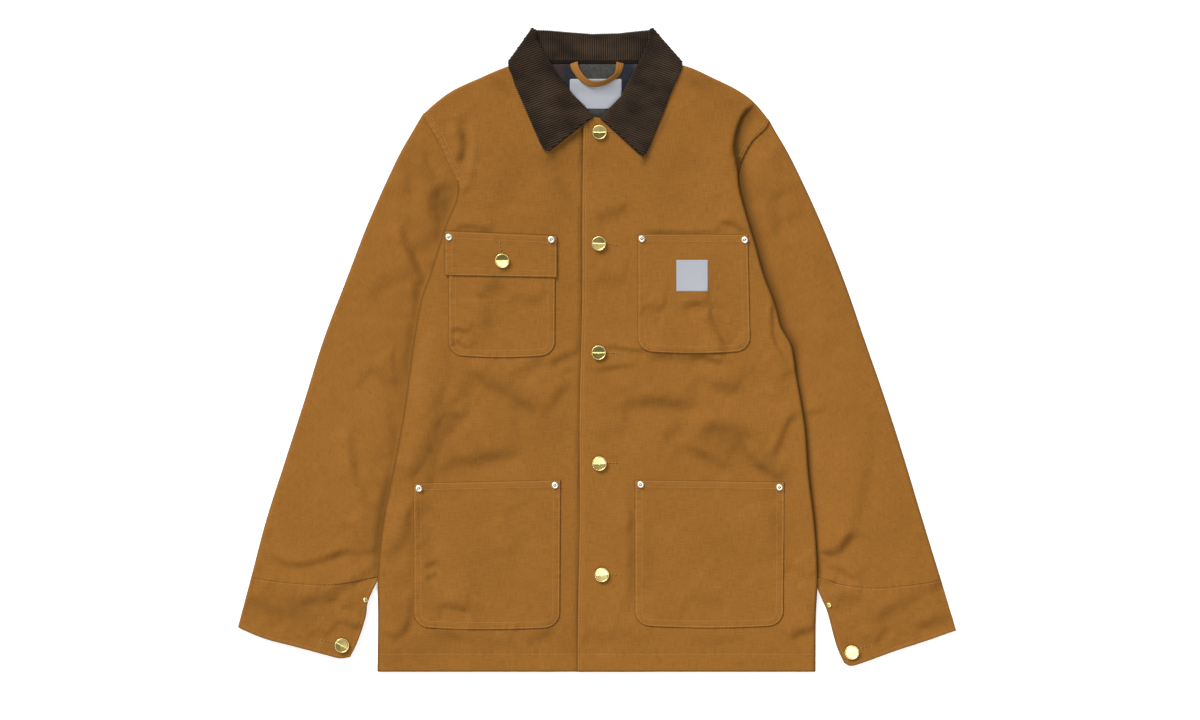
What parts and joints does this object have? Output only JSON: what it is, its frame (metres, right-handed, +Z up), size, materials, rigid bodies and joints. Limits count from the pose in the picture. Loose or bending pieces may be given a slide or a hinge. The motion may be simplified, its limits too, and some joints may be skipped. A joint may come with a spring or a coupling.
{
  "type": "chore jacket",
  "caption": "Canvas chore jacket laid flat and buttoned, with a corduroy collar, patch pockets, a chest flap, banded cuffs and brass buttons and rivets.",
  "frame": {"origin": "centre of the jacket's outline, at the underside that rests on the table", "axes": "+X from the wearer's right cuff to the left cuff, +Y from the hem to the collar, +Z up out of the fronts"},
  "size_m": [0.899, 0.806, 0.0169],
  "materials": {
    "canvas": "washed brown cotton duck with lock-stitched seams",
    "corduroy": "dark brown corduroy with raised ribs",
    "lining": "brushed plaid blanket cloth",
    "label": "woven label cloth, left bare",
    "tape": "orange-brown cotton tape",
    "brass": "bright pressed brass"
  },
  "bodies": {
    "root": {"back_panel": "canvas", "front_panel_right": "canvas", "front_panel_left": "canvas", "sleeve_right": "canvas", "sleeve_left": "canvas", "cuff_right": "canvas", "cuff_left": "canvas", "under_collar": "canvas", "chest_pocket_right": "canvas", "chest_pocket_flap": "canvas", "chest_pocket_left": "canvas", "hip_pocket_right": "canvas", "hip_pocket_left": "canvas", "collar": "corduroy", "neck_lining": "lining", "neck_label": "label", "chest_label": "label", "hanger_loop": "tape", "front_button_1": "brass", "front_button_2": "brass", "front_button_3": "brass", "front_button_4": "brass", "front_button_5": "brass", "flap_button": "brass", "cuff_button_right": "brass", "cuff_button_left": "brass", "rivet_chest_right_outer": "brass", "rivet_chest_right_inner": "brass", "rivet_chest_left_outer": "brass", "rivet_chest_left_inner": "brass", "rivet_hip_right_outer": "brass", "rivet_hip_right_inner": "brass", "rivet_hip_left_outer": "brass", "rivet_hip_left_inner": "brass", "rivet_cuff_right": "brass", "rivet_cuff_left": "brass"}
  },
  "joints": []
}
